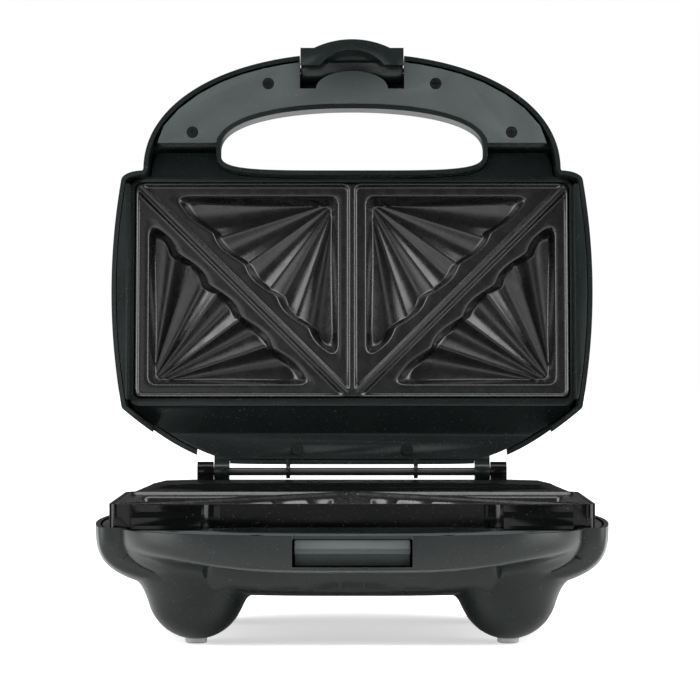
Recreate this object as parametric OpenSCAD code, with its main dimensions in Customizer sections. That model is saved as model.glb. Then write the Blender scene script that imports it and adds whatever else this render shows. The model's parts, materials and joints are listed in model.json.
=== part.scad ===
// Sandwich toaster, standing on its feet with the lid open.
// Millimetres. X runs across, the front faces -Y, Z is up, and the foot pads stand on Z = 0.
// Depths are measured forward from the hinge axis. Lid pieces are drawn closed and then swung open.

/* [Plates] */
// Width of a cooking plate
plate_w = 218.2; // [190:0.2:240]
// Depth of a cooking plate, front to back
plate_d = 108.6; // [100:0.2:125]
// Thickness of the plate's web
plate_t = 3; // [2.4:0.1:4]
// Corner radius of a plate
plate_corner_r = 3; // [1:0.5:6]
// Step from the plate's rim down to the bread area
bread_recess = 2; // [1:0.1:2.6]
// Width of the plate's rim around the two bread areas
plate_rim_w = 1.2; // [0.8:0.1:2.6]
// Width of the strip between the two bread areas
centre_strip_w = 3; // [2:0.1:5]
// Width of the ridge that cuts a sandwich across
ridge_w = 3.6; // [2.4:0.1:5]
// Edge of the bread area to the edge of a pocket
pocket_margin = 5.7; // [4.5:0.1:8]
// Length of a pocket's two straight sides
pocket_leg = 84; // [64:0.5:88]
// Depth of a pocket below the plate's rim
pocket_depth = 12.5; // [8:0.5:13]
// Lean of a pocket's wall, in degrees
pocket_draft = 15; // [8:1:24]
// Number of flutes that fan out from a pocket's corner
pocket_flutes = 5; // [3:1:7]
// How far each flute bulges into the long side
scallop_h = 2.2; // [1:0.1:3]
// Height of the crests between flutes, at the long side
crest_h = 3; // [1:0.1:4]
// Wall under a pocket
pocket_wall = 2.2; // [1.6:0.1:3]

/* [Body] */
// Hinge axis to the back edge of the plates
hinge_to_plate = 36.6; // [33:0.1:42]
// Frame around a plate
frame_border = 1.6; // [1.4:0.1:4]
// Gap between the raised frame of the base and the lid's skirt
skirt_gap = 0.6; // [0.4:0.1:1.2]
// Width of the lid's skirt at its widest
skirt_w = 8.7; // [7:0.1:12]
// How much narrower the body is at its corners than in the middle, each side
side_bow = 4.8; // [2:0.1:6]
// Half width of the lid where it meets the hinge
hinge_half_w = 64; // [58:1:70]
// Hinge axis to the lid's back edge
lid_back = 3.5; // [3:0.1:6]
// How far the base runs back behind the hinge axis
base_back = 7; // [6.5:0.5:16]
// Wall of the two shells
shell_t = 2.2; // [1.8:0.1:2.8]

/* [Heights] */
// Plane where the two plates meet
mating_z = 65; // [60:0.5:72]
// Gap between the closed plates
plate_gap = 0.4; // [0.3:0.1:1]
// Top edge of the base's shell below the mating plane
base_rim_drop = 11; // [9:0.5:13]
// Gap between the two shells when closed
rim_gap = 1; // [0.6:0.1:2]
// Hinge axis above the mating plane
hinge_rise = 7.8; // [7:0.1:10]
// Depth of the base's belly below its rim
belly_depth = 33; // [30:0.5:36]
// Height of the lid's crown above its rim
crown_h = 39; // [33:0.5:46]
// Height of the raised rear of the base's frame above the mating plane
hump_rise = 4.4; // [3:0.1:4.6]
// Lid's angle when it stands open
open_angle = 96; // [92:1:100]

/* [Handle] */
// Half width of the handle where it leaves the body
handle_half_w = 104.5; // [98:0.5:106]
// Half width of the hand hole
hole_half_w = 65.8; // [58:0.1:70]
// Front to back size of the hand hole
hole_d = 31.4; // [26:0.1:40]
// Front to back size of the handle's bar
bar_d = 28.2; // [26:0.1:34]
// Thickness of the lid's half of the handle
lid_handle_t = 18.5; // [17:0.5:22]
// Thickness of the base's half of the handle
base_handle_t = 15.5; // [14:0.5:18]
// Thickness of the two handle covers
cover_t = 2; // [1.6:0.1:2.6]
// Hinge axis to the back edge of the handle covers, past the hand hole's back edge
cover_setback = 14; // [13:0.5:17]

/* [Hinge] */
// Diameter of the steel hinge pin
hinge_pin_d = 4; // [3:0.1:5]
// Length of the hinge pin
hinge_pin_len = 153; // [148:1:156]
// Clearance between the pin and a bore, on radius
pin_clear = 0.05; // [0.02:0.01:0.09]
// Radius of the hinge ears
ear_r = 5; // [4.4:0.1:5.4]
// Inner face of the lid's ears, from the middle
lid_ear_x = 61.5; // [58:0.5:63]
// Width of a lid ear
lid_ear_w = 7.5; // [6:0.5:8]
// Width of a base ear
base_ear_w = 8; // [6:0.5:9]
// Side gap between a lid ear and a base ear
ear_gap = 0.4; // [0.3:0.1:0.8]

/* [Feet] */
// Radius of the round bulge above each foot
foot_r = 22.6; // [19:0.2:24]
// Half distance between the feet, across
foot_x = 71.7; // [60:0.1:80]
// Hinge axis to the front feet
front_foot_d = 130; // [120:1:134]
// Hinge axis to the rear feet
rear_foot_d = 30; // [27:1:50]
// Diameter of a foot pad
pad_d = 10; // [8:0.5:14]
// How far a foot pad stands out of the bulge
pad_proud = 1.8; // [1:0.1:3]

/* [Latch] */
// Width of the latch
latch_w = 51.4; // [44:0.2:56]
// Gap between the latch and the sides of its slot
latch_side_gap = 0.5; // [0.4:0.1:1]
// Radius of the latch around its pin
latch_r = 7; // [6.5:0.1:7.4]
// Diameter of the latch pin
latch_pin_d = 2.5; // [2:0.1:3]
// Half width of the arch in the latch
latch_arch_w = 18; // [14:0.5:20]
// How far the thumb tab stands forward of the handle
tab_proud = 4.4; // [2:0.1:6]
// Half width of the thumb tab
tab_half_w = 19; // [14:0.5:22]
// Height of the hook below the lid's rim
hook_reach = 13.4; // [12.8:0.2:13.6]

/* [Heating and wiring] */
// Diameter of the heater tubes
heater_d = 5.4; // [4.6:0.1:5.6]
// Half length of the heater's straight legs
heater_half_len = 46; // [40:1:46]
// Half distance between the heater's legs
heater_half_gap = 18; // [14:1:18]
// Thickness of the sheet-metal parts
sheet_t = 0.8; // [0.5:0.1:1.2]
// Diameter of the round thermostat
thermostat_d = 15; // [12:0.5:18]
// Diameter of the inner leads
lead_d = 2.4; // [1.6:0.1:3]
// Diameter of the mains cord that the inlet takes
cord_d = 6.6; // [5.5:0.1:7.6]
// Diameter of the two indicator lamps
lamp_d = 7; // [5:0.2:9]
// Screw size
screw_d = 3; // [2.5:0.1:3.5]

/* [Hidden] */

shell_colour = [0.2, 0.23, 0.225];
cover_colour = [0.35, 0.38, 0.37];
frame_colour = [0.09, 0.09, 0.095];
plate_colour = [0.17, 0.17, 0.18];
steel_colour = [0.55, 0.55, 0.56];
wire_colour = [0.75, 0.72, 0.66];

// Gap between a wall and a piece that fits inside it
wall_gap = 0.3;
// The same beside a shell's wall, which leans in away from its rim
lean_gap = 1;

// Places along the depth, all from the hinge axis
plate_back = hinge_to_plate;
plate_front = plate_back + plate_d;
plate_mid = (plate_back + plate_front) / 2;
frame_front = plate_front + frame_border;
hole_back = frame_front + skirt_gap + wall_gap + shell_t;
hole_mid = hole_back + hole_d * 0.357;
hole_front = hole_back + hole_d;
reach = hole_front + bar_d;
cover_back = hole_back + cover_setback;
shoulder_front = cover_back - 6;
flank_front = plate_back - 6;
recess_front = plate_back - frame_border;
recess_back = recess_front - 15.2;
hump_back = 9.5;
hump_half = 98.5;
rib_x = 31;

// Places across
plate_half = plate_w / 2;
frame_half = plate_half + frame_border;
body_half = frame_half + skirt_gap + skirt_w;
shoulder_in = hole_half_w + 2;
shoulder_out = handle_half_w - shell_t - 2.6;
base_ear_x = lid_ear_x + lid_ear_w + ear_gap;
rear_half = base_ear_x + base_ear_w + 2;

// Heights
base_rim = mating_z - base_rim_drop;
lid_rim = base_rim + rim_gap;
lower_land = mating_z - plate_gap / 2;
upper_land = mating_z + plate_gap / 2;
hinge_z = mating_z + hinge_rise;
hump_z = mating_z + hump_rise;
recess_z = hump_z + 1.4;
belly_z = base_rim - belly_depth;
foot_z = foot_r + pad_proud;
pocket_bottom = pocket_depth + pocket_wall;
heater_drop = pocket_bottom + heater_d / 2 + 0.1;
reflector_drop = heater_drop + heater_d / 2 + sheet_t + 0.3;

frame_t = 1.8;
fit = 0.4;

// The lid's heels, and the height of the stops that they come down on
heel_out = 6.6;
heel_up = 5;
stop_z = hinge_z - heel_out * sin(open_angle) + heel_up * cos(open_angle) - wall_gap;

// ---------------------------------------------------------------- outlines

// Half width of the body's bowed side
function side_w(p) = body_half - side_bow * pow((p - plate_mid) / (plate_d / 2 + 2), 2);
// Half width along the curve that runs in to the hinge
function flank_w(p) =
    let (t = (p - lid_back) / (flank_front - lid_back))
    hinge_half_w + (side_w(flank_front) - hinge_half_w) * pow(t, 0.625);
// Half width of the arched handle
function arch_w(p) =
    handle_half_w * pow(max(0, 1 - pow((p - hole_back) / (reach - hole_back), 2.15)), 0.465);
// Half width of the body's front corner, a quarter round down to the handle
function corner_w(p) =
    let (t = (p - hole_back + 5) / 5)
    handle_half_w + (side_w(hole_back - 5) - handle_half_w) * sqrt(max(0, 1 - t * t));
// Half width of the whole outline
function outline_w(p) =
    p < lid_back ? hinge_half_w :
    p < flank_front ? flank_w(p) :
    p < hole_back - 5 ? side_w(p) :
    p < hole_back ? corner_w(p) : arch_w(min(p, reach));
// The base runs on behind the hinge as a block that widens into the flank
function base_w(p) =
    let (t = max(0, p + base_back) / (hump_back + base_back))
    p < hump_back ? rear_half + (outline_w(hump_back) - rear_half) * t * t : outline_w(p);
function wide(p, base) = base ? base_w(p) : outline_w(p);
// The same outline taken in by i all along
function inset_w(p, i, base) =
    i == 0 ? wide(p, base) :
    max(1, min([for (k = [-4:4]) wide(p + i * k / 4, base) - i * sqrt(1 - pow(k / 4, 2))]));

// Depths at which the outline is sampled, taken in by i
function rear_rows(i, base) =
    base ? [-base_back + i, -1, 4.5, hump_back, hump_back + 3] : [lid_back + i, 6.5, 9, 12];
function flank_rows(i) = [15.5, 20, 25, flank_front, flank_front + 6];
function side_rows() = [for (k = [1:5]) flank_front + 6 + k * (hole_back - flank_front - 14) / 6];
function front_rows() = [hole_back - 6, hole_back - 3, hole_back - 1.3, hole_back - 0.3, hole_back + 4];
function arch_rows(i) = [for (a = [22, 32, 42, 51, 59, 66, 72, 77, 81.5]) arch_at(a, i)];
function arch_at(a, i) = hole_back + (reach - i - hole_back) * pow(sin(a), 0.93);
function rows(i, base) = concat(rear_rows(i, base), flank_rows(i), side_rows(), front_rows(), arch_rows(i));
function body_rows(i, base) =
    concat(rear_rows(i, base), flank_rows(i), side_rows(), [hole_back - 6, hole_back - 4]);

// Height between listed stations, eased at each
function blend(t) = t * t * (3 - 2 * t);
function station(list, p, k = 0) =
    p <= list[0][0] ? list[0][1] :
    k > len(list) - 2 ? list[len(list) - 1][1] :
    p < list[k + 1][0] ? mix(list[k], list[k + 1], p) : station(list, p, k + 1);
function mix(a, b, p) =
    let (t = (p - a[0]) / (b[0] - a[0]))
    a[1] + (b[1] - a[1]) * (blend(t) + t) / 2;

lid_profile = [
    [lid_back, crown_h - 10], [lid_back + 14, crown_h - 4], [plate_back + 12, crown_h - 0.8],
    [plate_mid, crown_h], [plate_front - 26, crown_h - 1.4], [plate_front - 4, crown_h - 6],
    [hole_back + 7.6, lid_handle_t + 6], [hole_back + 17, lid_handle_t + 1.5],
    [hole_front - 8, lid_handle_t], [reach - 10, lid_handle_t], [reach - 3, lid_handle_t - 2.4],
    [reach, lid_handle_t - 7]
];
base_profile = [
    [-base_back, belly_depth - 6], [10, belly_depth - 2], [plate_back, belly_depth],
    [front_foot_d, belly_depth - 0.6], [plate_front, belly_depth - 2.5], [hole_back + 5, belly_depth - 8],
    [hole_back + 14, base_handle_t + 2], [hole_front - 4, base_handle_t], [reach - 4, base_handle_t],
    [reach, base_handle_t - 3]
];

// How square the cross section is, at listed depths
lid_squareness = [[plate_front - 30, 3.2], [hole_back, 6]];
base_squareness = [[plate_front, 3.4], [hole_front, 4]];

// Open lid's furthest point behind the hinge, which sets the hinge back from the middle of the whole box
back_extent = max([
    for (q = lid_profile) (lid_rim + q[1] - hinge_z) * sin(open_angle) - q[0] * cos(open_angle)
]);
hinge_y = (reach - back_extent) / 2;

// One half of a shell as a closed solid: dir is 1 for the lid's dome and -1 for the base's belly
module dome(rim, profile, squareness, drop, i, base, dir) {
    cols = 16;
    ps = rows(i, base);
    m = len(ps);
    pts = [
        for (j = [0:m - 1], k = [0:cols])
            let (u = -cos(180 * k / cols), n = station(squareness, ps[j]), w = inset_w(ps[j], i, base),
                h = station(profile, ps[j]) - drop)
            [u * w, -ps[j], rim + dir * h * pow(1 - pow(abs(u), n), 1 / n)]
    ];
    c = cols + 1;
    skin = [
        for (j = [0:m - 2], k = [0:cols - 1], s = [0, 1])
            let (a = j * c + k)
            s == 0 ? [a, a + 1, a + c] : [a + 1, a + c + 1, a + c]
    ];
    back = [for (k = [cols:-1:0]) k];
    front = [for (k = [0:cols]) (m - 1) * c + k];
    rim_face = concat([for (j = [0:m - 1]) j * c], [for (j = [m - 1:-1:0]) j * c + cols]);
    faces = concat(skin, [back], [front], [rim_face]);
    polyhedron(points = pts, faces = dir > 0 ? faces : [for (f = faces) [for (v = [len(f) - 1:-1:0]) f[v]]]);
}

// The outline as a flat shape, body only or with the handle
module outline_2d(i, base = false, handle = false) {
    ps = handle ? rows(i, base) : body_rows(i, base);
    half = [for (p = ps) [inset_w(p, i, base), -p]];
    left = [for (j = [len(ps) - 1:-1:0]) [-half[j][0], half[j][1]]];
    polygon(concat(half, left));
}

// The hand hole, grown by g: a flat arch over a squarer lower half
module hole_2d(g = 0) {
    polygon([
        for (a = [0:10:350])
            let (
                ahead = sin(a) >= 0,
                n = ahead ? 2.3 : 4.5,
                b = (ahead ? hole_front - hole_mid : hole_mid - hole_back) + g
            )
            [
                (hole_half_w + g) * sign(cos(a)) * pow(abs(cos(a)), 2 / n),
                -hole_mid - b * sign(sin(a)) * pow(abs(sin(a)), 2 / n)
            ]
    ]);
}

module box_2d(half, back, front) {
    translate([-half, -front]) square([2 * half, front - back]);
}

module round_box_2d(half, back, front, r) {
    polygon([
        for (q = [0:3], a = [0:10:90])
            let (t = 90 * q + a, x = half - r, p = q < 2 ? back + r : front - r)
            [(q == 0 || q == 3 ? x : -x) + r * cos(t), r * sin(t) - p]
    ]);
}

module plate_2d(g = 0) {
    round_box_2d(plate_half + g, plate_back - g, plate_front + g, max(0.5, plate_corner_r + g));
}

// Raised part of the base's frame, grown by g, with its two shoulders beside the hand hole
module raised_2d(g = 0) {
    difference() {
        union() {
            round_box_2d(
                frame_half + g, recess_front - g, frame_front + g, plate_corner_r + frame_border + g
            );
            for (s = [-1, 1]) scale([s, 1]) translate([shoulder_in - 8 - g, -shoulder_front - g])
                square([shoulder_out - shoulder_in + 8 + 2 * g, shoulder_front - frame_front + 6 + g]);
        }
        hole_2d(shell_t + skirt_gap - g);
    }
}

// A profile of [depth, height] points drawn across the width
module across(half, points) {
    translate([half, 0, 0]) rotate([0, -90, 0]) linear_extrude(2 * half)
        polygon([for (q = points) [q[1], -q[0]]]);
}

module slab(z0, z1) {
    translate([0, 0, z0]) linear_extrude(z1 - z0) children();
}

module rod(d, from_x, to_x, p, z) {
    translate([from_x, -p, z]) rotate([0, 90, 0]) cylinder(d = d, h = to_x - from_x, $fn = 48);
}

// Places the base's pieces, whose drawings run forward from the hinge axis
module at_base() {
    translate([0, hinge_y, 0]) children();
}

// Swings the lid's pieces open about the hinge axis
module at_lid() {
    translate([0, hinge_y, hinge_z]) rotate([-open_angle, 0, 0]) translate([0, 0, -hinge_z]) children();
}

module both_sides() {
    children();
    mirror([1, 0, 0]) children();
}

// Height of a screw's head
head_t = 1.4;

// A pan-head screw standing on its tip at z0, with its head up to z1, or head down when z1 < z0
module screw(x, p, z0, z1, d = screw_d) {
    s = sign(z1 - z0);
    translate([x, -p, z0]) mirror([0, 0, s > 0 ? 0 : 1]) difference() {
        union() {
            cylinder(d = d, h = abs(z1 - z0), $fn = 32);
            translate([0, 0, abs(z1 - z0) - head_t]) cylinder(d = 1.8 * d, h = head_t, $fn = 32);
        }
        for (a = [0, 90]) translate([0, 0, abs(z1 - z0)]) rotate(a) cube([1.2 * d, 0.7, 1.6], center = true);
    }
}

// ---------------------------------------------------------------- plates

// Points round a pocket, taken in by i: two straight legs and a scalloped long side
function pocket_ring(i, z, crest) = concat(
    [for (a = [270:-30:180]) [i + 3 + 3 * cos(a), i + 3 + 3 * sin(a), z]],
    [[i, leg_end(i) - 5, z], [i + 0.8, leg_end(i) - 2.4, z]],
    [for (k = [5 * pocket_flutes:-1:0]) long_side(k / (5 * pocket_flutes), i, z, crest)],
    [[leg_end(i) - 2.4, i + 0.8, z], [leg_end(i) - 5, i, z]]
);
function leg_end(i) = pocket_leg - 2.414 * i;
function lobe(t) = pow(abs(sin(180 * pocket_flutes * t)), 0.8);
function long_side(t, i, z, crest) =
    let (
        span = leg_end(i) - 3.6 - i,
        out = scallop_h * 0.7 * (lobe(t) - 1) * min(1, 12 * min(t, 1 - t)),
        rise = crest * (1 - lobe(t)) * min(1, 12 * min(t, 1 - t))
    )
    [i + 1.8 + span * (1 - t) + out, i + 1.8 + span * t + out, z + rise];

// The hollow of a pocket, with its right-angled corner at the origin and its mouth at z = 0
module pocket_hollow(depth, lip) {
    top = pocket_ring(-lip * tan(pocket_draft), lip, 0);
    inset = depth * tan(pocket_draft);
    floor_pts = pocket_ring(inset, -depth, crest_h);
    n = len(top);
    walls = [
        for (k = [0:n - 1], s = [0, 1])
            let (b = (k + 1) % n)
            s == 0 ? [k, k + n, b] : [b, k + n, b + n]
    ];
    cap = [[for (k = [0:n - 1]) k]];
    fan = [for (k = [0:n - 1]) [n + (k + 1) % n, n + k, 2 * n]];
    polyhedron(
        points = concat(top, floor_pts, [[inset + 2, inset + 2, -depth]]),
        faces = concat(walls, cap, fan)
    );
}

// The plain underside of a pocket, one wall thickness outside the hollow
module pocket_under() {
    i = -pocket_wall;
    low = pocket_bottom * tan(pocket_draft) - pocket_wall;
    top = [for (q = [[i, i], [i, leg_end(i)], [leg_end(i), i]]) [q[0], q[1], -plate_t / 2]];
    bottom = [for (q = [[low, low], [low, leg_end(low)], [leg_end(low), low]]) [q[0], q[1], -pocket_bottom]];
    polyhedron(
        points = concat(top, bottom),
        faces = [[0, 1, 2], [5, 4, 3], [3, 4, 1, 0], [4, 5, 2, 1], [5, 3, 0, 2]]
    );
}

// Puts the pockets on a plate whose face is at z = 0: two to a bread area, two areas
module each_pocket() {
    front = plate_front - plate_rim_w - pocket_margin;
    back = plate_back + plate_rim_w + pocket_margin;
    inner = centre_strip_w / 2 + pocket_margin;
    outer = plate_half - plate_rim_w - pocket_margin;
    both_sides() {
        translate([inner, -front, 0]) children();
        translate([outer, -back, 0]) rotate(180) children();
    }
}

// A bread area's shallow recess is in two triangles, left and right of the cutting ridge
module bread_2d() {
    back = plate_back + plate_rim_w;
    front = plate_front - plate_rim_w;
    inner = centre_strip_w / 2;
    outer = plate_half - plate_rim_w;
    both_sides() difference() {
        translate([inner, -front]) square([outer - inner, front - back]);
        hull() {
            translate([outer, -front]) circle(d = ridge_w, $fn = 16);
            translate([inner, -back]) circle(d = ridge_w, $fn = 16);
        }
    }
}

// A cooking plate with its face up at z = 0; the lid's plate is the same casting turned over
module plate_casting() {
    difference() {
        union() {
            slab(-plate_t, 0) plate_2d();
            each_pocket() pocket_under();
            each_plate_boss() cylinder(d = 8, h = boss_len + 0.5, $fn = 32);
        }
        slab(-bread_recess, 1) bread_2d();
        each_pocket() translate([0, 0, -bread_recess]) pocket_hollow(pocket_depth - bread_recess, 0.6);
        each_plate_boss() translate([0, 0, -0.1])
            cylinder(r = screw_d / 2 + 0.02, h = boss_len - 1, $fn = 32);
    }
}

boss_len = reflector_drop - sheet_t - plate_t;
inner_boss_x = 26;
outer_boss_x = 68;
// Middle of the strip between the pockets, as depth minus width
strip = (plate_back + plate_front + centre_strip_w / 2 - plate_half + plate_rim_w) / 2 - centre_strip_w / 4;

// The four bosses that hold the reflector hang below the web, between the pockets
module each_plate_boss() {
    z = -reflector_drop + sheet_t;
    both_sides() for (x = [inner_boss_x, outer_boss_x]) translate([x, -x - strip, z]) children();
}

// Turns a plate's pieces over for the lid
module turned() {
    translate([0, 0, upper_land]) mirror([0, 0, 1]) children();
}

module set_down() {
    translate([0, 0, lower_land]) children();
}

// The tubular heater: a loop under the pockets, with its two terminal pins on the left
module heater_loop() {
    z = -heater_drop;
    tube_end = heater_half_len + 6;
    for (s = [-1, 1]) {
        rod(heater_d, -tube_end, heater_half_len, plate_mid + s * heater_half_gap, z);
        rod(lead_d, -tube_end - 8, -tube_end, plate_mid + s * heater_half_gap, z);
    }
    translate([heater_half_len, -plate_mid, z]) rotate(-90) rotate_extrude(angle = 180, $fn = 64)
        translate([heater_half_gap, 0]) circle(d = heater_d, $fn = 32);
}
heater_pin_x = heater_half_len + 14;

// Sheet tray that throws the heat back at the plate, screwed to the plate's bosses
tray_half = outer_boss_x + 6;
module reflector_tray() {
    z = -reflector_drop;
    back = plate_back + 16;
    front = plate_front - 22;
    difference() {
        slab(z, z + 5) round_box_2d(tray_half, back, front, 4);
        slab(z + sheet_t, z + 6) round_box_2d(tray_half - sheet_t, back + sheet_t, front - sheet_t, 4);
        each_plate_boss() translate([0, 0, -2]) cylinder(r = screw_d / 2 + 0.2, h = 4, $fn = 32);
        translate([-tray_half - 1, -plate_mid - heater_half_gap - 7, z + sheet_t + 0.4])
            cube([6, 2 * heater_half_gap + 10, 8]);
    }
}

module reflector_screws() {
    z = -reflector_drop;
    both_sides() for (x = [inner_boss_x, outer_boss_x]) screw(x, x + strip, z + 9, z - head_t);
}

// ---------------------------------------------------------------- base

module foot_spots() {
    both_sides() for (p = [rear_foot_d, front_foot_d]) translate([foot_x, -p, 0]) children();
}

// The four posts that the frame is screwed down to
post_top = base_rim - 2.2;
post_d = 9;
rear_post_x = 84;
rear_post_p = 22;
module front_posts() {
    both_sides() translate([plate_half - 5.6, -plate_front + 4.4, 0]) children();
}
module rear_posts() {
    both_sides() translate([rear_post_x, -rear_post_p, 0]) children();
}
module posts() {
    front_posts() children();
    rear_posts() children();
}

module base_shell() {
    color(shell_colour) at_base() difference() {
        union() {
            difference() {
                union() {
                    dome(base_rim, base_profile, base_squareness, 0, 0, true, -1);
                    foot_spots() translate([0, 0, foot_z]) sphere(foot_r, $fn = 32);
                }
                difference() {
                    translate([0, 0, 0.01])
                        dome(base_rim, base_profile, base_squareness, shell_t, shell_t, true, -1);
                    slab(0, base_rim + 1) hole_2d(shell_t);
                }
                foot_spots() translate([0, 0, foot_z]) sphere(foot_r - shell_t - 0.6, $fn = 24);
            }
            front_posts() translate([0, 0, base_rim - 20])
                cylinder(d = post_d, h = post_top - base_rim + 20, $fn = 32);
            rear_posts() translate([0, 0, foot_z - 10.5])
                cylinder(d = post_d, h = post_top - foot_z + 10.5, $fn = 32);
        }
        slab(0, base_rim + 1) hole_2d();
        foot_spots() cylinder(d = pad_d + 2 * wall_gap, h = pad_proud + 2, $fn = 48);
        posts() cylinder(d = 1.8 * screw_d + 1, h = post_top - 12, $fn = 32);
        posts() cylinder(r = screw_d / 2 + 0.2, h = post_top + 1, $fn = 32);
        keeper_slot();
        translate([gland_x, base_back + 1, gland_z]) rotate([90, 0, 0])
            cylinder(d = gland_d, h = 5, $fn = 48);
    }
}

// The recess at the middle of the base's handle, where the latch comes down
module keeper_slot() {
    half = latch_w / 2 + latch_side_gap;
    translate([-half, -reach - 2, slot_z]) cube([2 * half, 15.5, base_rim - slot_z + 4]);
}

frame_top = lower_land - 0.2;
module base_frame() {
    color(frame_colour) at_base() difference() {
        union() {
            slab(post_top, base_rim - 0.4) difference() {
                outline_2d(shell_t + lean_gap, true);
                raised_2d(-frame_t);
                hole_2d(shell_t + wall_gap);
                hump_inside_2d();
            }
            slab(post_top, frame_top) difference() {
                raised_2d();
                raised_2d(-frame_t);
            }
            slab(lower_land - plate_t - frame_t, frame_top) difference() {
                raised_2d(-0.2);
                plate_2d(-frame_t);
            }
            rear_hump();
            hinge_deck();
            posts() translate([0, 0, post_top])
                cylinder(d = post_d, h = lower_land - plate_t - 0.3 - post_top, $fn = 32);
            rear_posts() translate([0, 0, post_top])
                cylinder(d = post_d, h = hump_z - 2 - post_top, $fn = 32);
        }
        slab(lower_land - plate_t - 0.1, lower_land + 1) plate_2d(fit);
        shoulder_steps();
        posts() translate([0, 0, post_top - 1]) cylinder(r = screw_d / 2 + 0.02, h = 8, $fn = 32);
        rod(hinge_pin_d + 0.04, -rear_half, rear_half, 0, hinge_z);
    }
}

// Slope from the plate up to a low ridge, which fills the lid's rear recess
module rear_hump() {
    low = post_top + 0.3;
    difference() {
        intersection() {
            across(body_half, [
                [recess_front + 1, low], [recess_front + 1, frame_top - 0.3], [recess_back, hump_z],
                [hump_back + 2, hump_z], [hump_back, hump_z - 1.6], [hump_back, low]
            ]);
            slab(low - 1, hump_z + 1) hump_2d();
        }
        intersection() {
            across(body_half, [
                [recess_front - 0.8, low - 1], [recess_front - 0.8, frame_top - 2.3],
                [recess_back, hump_z - frame_t], [hump_back + frame_t, hump_z - frame_t],
                [hump_back + frame_t, low - 1]
            ]);
            slab(low - 2, hump_z + 1) hump_inside_2d();
        }
    }
}

// Plan of the hump: straight ends, wider in front where the lid's walls swing clear, inside the flank
module hump_2d(g = 0) {
    half = hump_half + g;
    wide = recess_front - 10;
    intersection() {
        polygon([
            [-half, -hump_back + 2], [half, -hump_back + 2], [half, -wide], [half + 9.5, -recess_front - 2],
            [-half - 9.5, -recess_front - 2], [-half, -wide]
        ]);
        outline_2d(shell_t + 2.8 - g, true);
    }
}

module hump_inside_2d() {
    intersection() {
        hump_2d(-frame_t);
        box_2d(body_half, hump_back + frame_t, recess_front - 0.8);
    }
}

// Deck behind the hump with the two outer ears of the hinge and the pads that stop the open lid
module hinge_deck() {
    low = post_top + 0.5;
    deck_z = hinge_z - ear_r - 3.4;
    across(rear_half - shell_t - wall_gap - 0.8, [
        [hump_back + 0.5, deck_z], [-base_back + 2.8, deck_z], [-base_back + 2.8, low],
        [-base_back + 4.6, low], [-base_back + 4.6, deck_z - 1.8], [hump_back + 0.5, deck_z - 1.8]
    ]);
    both_sides() {
        rod(2 * ear_r, base_ear_x, base_ear_x + base_ear_w, 0, hinge_z);
        translate([base_ear_x, -ear_r + 0.2, low]) cube([base_ear_w, 2 * ear_r - 0.4, hinge_z - low]);
        translate([lid_ear_x, 0.6, deck_z - 0.5]) cube([lid_ear_w, base_back - 3.4, stop_z - deck_z + 0.5]);
    }
}

// The steps down the front of each shoulder
module shoulder_steps() {
    z = lower_land - 0.2;
    p = shoulder_front;
    across(frame_half, [
        [p - 2.5, z + 1], [p - 2.5, z - 3], [p - 0.6, z - 5.6], [p - 0.6, z - 9.2], [p + 3, z - 9.2],
        [p + 3, z + 1]
    ]);
}

module lower_plate() {
    color(plate_colour) at_base() set_down() plate_casting();
}

module lower_heater() {
    color(steel_colour) at_base() set_down() heater_loop();
}

module lower_reflector() {
    color(steel_colour) at_base() set_down() reflector_tray();
}

module lower_plate_screws() {
    color(steel_colour) at_base() set_down() reflector_screws();
}

gland_x = 45;
gland_z = base_rim - 13;
gland_d = cord_d + 5;
block_x = 22;
block_p = 32;
block_z = belly_z + shell_t + 1.7;
reflector_z = lower_land - reflector_drop;

// Round thermostat clipped under the reflector, with its two tabs
module thermostat() {
    color("ivory") at_base() translate([0, -plate_mid, reflector_z]) {
        translate([0, 0, -9]) cylinder(d = thermostat_d, h = 9 - 0.1, $fn = 48);
        for (x = [-1, 1]) translate([x * 4 - 0.4, -2.5, -13]) cube([0.8, 5, 4.5]);
    }
}

module terminal_block() {
    color("white") at_base() translate([block_x, -block_p, block_z]) difference() {
        translate([-16, -9, 0]) cube([32, 18, 13]);
        for (x = [-10, 0, 10]) {
            translate([x, 10, 5]) rotate([90, 0, 0]) cylinder(d = lead_d + 0.8, h = 20, $fn = 32);
            translate([x, 0, 9]) cylinder(d = 4, h = 5, $fn = 32);
        }
    }
}

module earth_tag() {
    color(steel_colour) at_base() translate([-60, -plate_mid, reflector_z]) difference() {
        translate([-5, -4, -sheet_t - 0.05]) cube([22, 8, sheet_t]);
        translate([0, 0, -3]) cylinder(d = 3.4, h = 5, $fn = 32);
    }
}

// Leads from the terminal block to the thermostat, and on round the tray to the heater's two pins
module base_leads() {
    z = block_z + 5;
    x0 = -heater_pin_x - 0.4;
    x1 = -tray_half - 5;
    block_front = -block_p - 9.5;
    pin_z = lower_land - heater_drop;
    tab_z = reflector_z - 14.3;
    near = plate_mid - heater_half_gap;
    far = plate_mid + heater_half_gap;
    past = far + 3.5;
    color(wire_colour) at_base() {
        lead([
            [block_x, block_front, z], [block_x - 4, -58, z - 1], [6, -plate_mid + 9, z - 1],
            [4, -plate_mid, tab_z]
        ]);
        lead([
            [-4, -plate_mid, tab_z], [-8, -far + 6, z - 1], [x1 + 8, -past, z], [x1, -past, z + 6],
            [x1, -past, pin_z], [x0 - 5, -past, pin_z], [x0, -far, pin_z]
        ]);
        lead([
            [block_x - 10, block_front, z], [block_x - 16, -50, z], [x1 + 8, -near, z], [x1, -near, z + 6],
            [x1, -near, pin_z], [x0, -near, pin_z]
        ]);
    }
}

function unit(v) = v / norm(v);
function heading(pts, k) =
    k == 0 ? unit(pts[1] - pts[0]) :
    k == len(pts) - 1 ? unit(pts[k] - pts[k - 1]) :
    unit(unit(pts[k + 1] - pts[k]) + unit(pts[k] - pts[k - 1]));

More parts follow.
